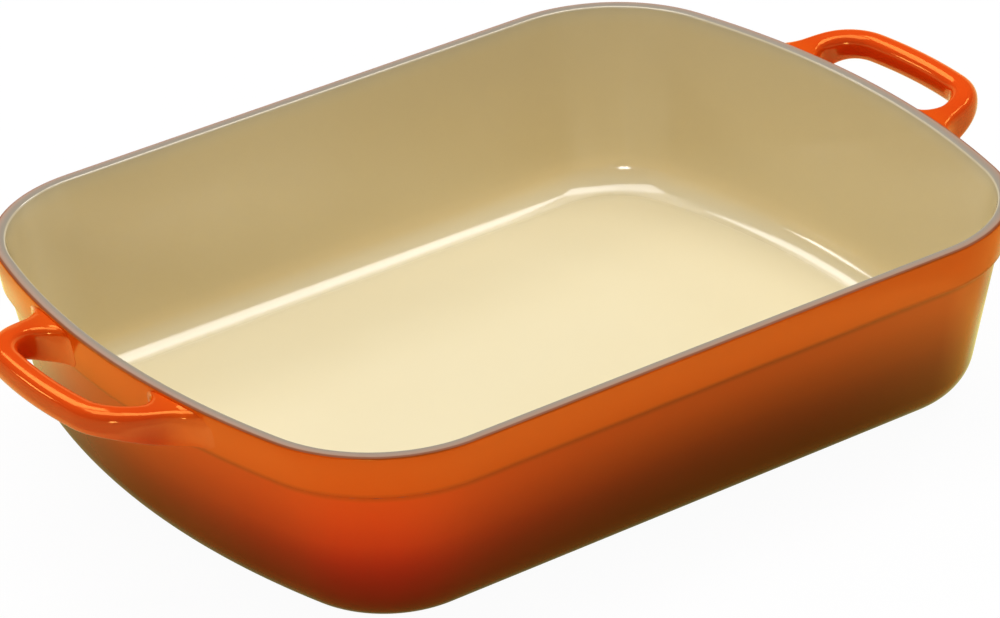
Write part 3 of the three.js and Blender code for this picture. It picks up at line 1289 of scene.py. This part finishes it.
    def make_sky(self) -> None:
        """Lights the scene evenly from all round, and shows a white backdrop low down where it is seen."""
        graph = Graph(bpy.data.worlds.new("sky"))
        direction = graph.add("SeparateXYZ", {0: graph.add("TexCoord").outputs["Generated"]}).outputs["Z"]
        low = graph.maths("LESS_THAN", direction, self.backdrop)
        limits = {"Value": self.seen(graph, 1.0, low), "To Min": self.sky, "To Max": 1.0}
        strength = graph.add("MapRange", limits).outputs["Result"]
        graph.finish(graph.add("Background", {"Strength": strength}).outputs["Background"])
        bpy.context.scene.world = graph.owner


# Outside coat, darker towards the base: the enamel's own ombré, deepened by painted shade low on the
# walls.
ORANGE = TwoShadeEnamel(
    name="orange_enamel",
    shades=(
        (0.0, "5c3008"), (0.14, "5c2a06"), (0.3, "5c1c06"), (0.45, "762608"), (0.6, "a23a0a"),
        # From 0.752 to 0.782 a dark band of painted shade under the band's lower edge.
        (0.73, "c2440e"), (0.752, "90320a"), (0.782, "90320a"), (0.8, "e2550a"), (0.986, "e2550a"),
        (0.989, "d24e0a"), (0.992, "984410"), (1.0, "8c4210"),
    ),
    second_shades=(
        (0.0, "7a320a"), (0.1, "821a0a"), (0.22, "920c0a"), (0.35, "af0e0c"), (0.48, "da2e10"),
        # The same band of painted shade under the band's lower edge, a little redder at the corners.
        (0.73, "f64a10"), (0.752, "cc420a"), (0.782, "cc420a"), (0.8, "ec540a"), (0.986, "ec540a"),
        (0.989, "d84e0a"), (0.992, "984410"), (1.0, "8c4210"),
    ),
    cloud="a83c0c",
    cloud_share=0.04,
    gloss=(0.11, 0.17),
    glaze="ffbe52",
    edge_glaze="e6dc8c",
    index=1.6,
)
HANDLE = TwoShadeEnamel(
    name="handle_enamel",
    # Darker on the lower faces than on the top: painted shade.
    shades=((0.0, "cc2a06"), (0.45, "cc2e06"), (0.75, "d2380a"), (0.95, "e6480c"), (1.0, "e8480c")),
    second_shades=((0.0, "ea580c"), (0.7, "ea580c"), (0.9, "e04a0a"), (1.0, "de460a")),
    cloud="d0400c",
    cloud_share=0.15,
    gloss=(0.08, 0.14),
    glaze="ffc060",
    edge_glaze="ffe8a0",
    index=1.8,
)
SAND = CookingEnamel(
    name="sand_enamel",
    shades=(
        # Lighter at the foot of the walls and darker up them: painted light and shade of the overhead
        # lamps.
        (0.0, "e4d8b2"), (0.06, "f4e2b4"), (0.11, "f2dca8"), (0.18, "dfca97"), (0.3, "d9c594"),
        (0.84, "d8c496"), (0.89, "d6c69e"), (0.92, "c8ba9c"),
    ),
    cloud="e0d0a4",
    cloud_share=0.2,
    gloss=(0.1, 0.16),
    mirror=1.0,
)
GREY = Enamel(
    name="grey_enamel",
    shades=(
        # From 0.25 to 0.34 a paler pinkish band: a painted sheen along the top of the crown.
        (0.0, "8c4210"), (0.14, "8a4414"), (0.19, "8e4e22"), (0.25, "a88268"), (0.34, "ae8c76"),
        (0.5, "a28a78"), (0.7, "968a7a"), (0.9, "968c7c"), (1.0, "a89e88"),
    ),
    cloud="8c7868",
    cloud_share=0.15,
    gloss=(0.4, 0.55),
    mirror=0.2,
    wander=0.02,
)
BROWN = Enamel(
    name="brown_enamel",
    shades=((0.0, "4a2212"), (0.7, "42200f"), (1.0, "38190c")),
    cloud="5a2a14",
    cloud_share=0.4,
    gloss=(0.35, 0.5),
    mirror=0.3,
    wander=0.05,
)
IRON = CastIron()

LAMPS = (
    Softbox.overhead("right_overhead_softbox", across=(0.02, 0.61), beyond=(-0.08, 0.62), brightness=4.5),
    Softbox.overhead("left_overhead_softbox", across=(-0.55, 0.02), beyond=(-0.15, 0.45), brightness=3.7),
    Softbox.overhead("rear_softbox", across=(-0.72, -0.12), beyond=(0.6, 1.35), brightness=4.1),
    Softbox("left_fill", place=(-2.2, -1.9, 0.82), size=(0.6, 0.5), brightness=11.5),
    Softbox("low_rear_lamp", place=(-1.7, 2.2, 1.3), size=(0.6, 0.3), brightness=8.0),
    Softbox.overhead("right_side_softbox", across=(0.65, 0.9), beyond=(0.6, 1.0), brightness=6.0),
)


def main() -> None:
    """Builds the tub and the handles, dresses the iron and sets up the studio."""
    logging.basicConfig(level=logging.INFO, format="%(message)s")
    tub = Tub()
    tub.make()
    for end in End:
        LoopHandle(end, tub).make()
    iron = IRON.material()
    for name in IRON_NODES:
        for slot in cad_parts[name].material_slots:
            slot.material = iron
        log.info("%s is dressed as bare iron", name)
    Studio().make()


if __name__ == "__main__":
    main()
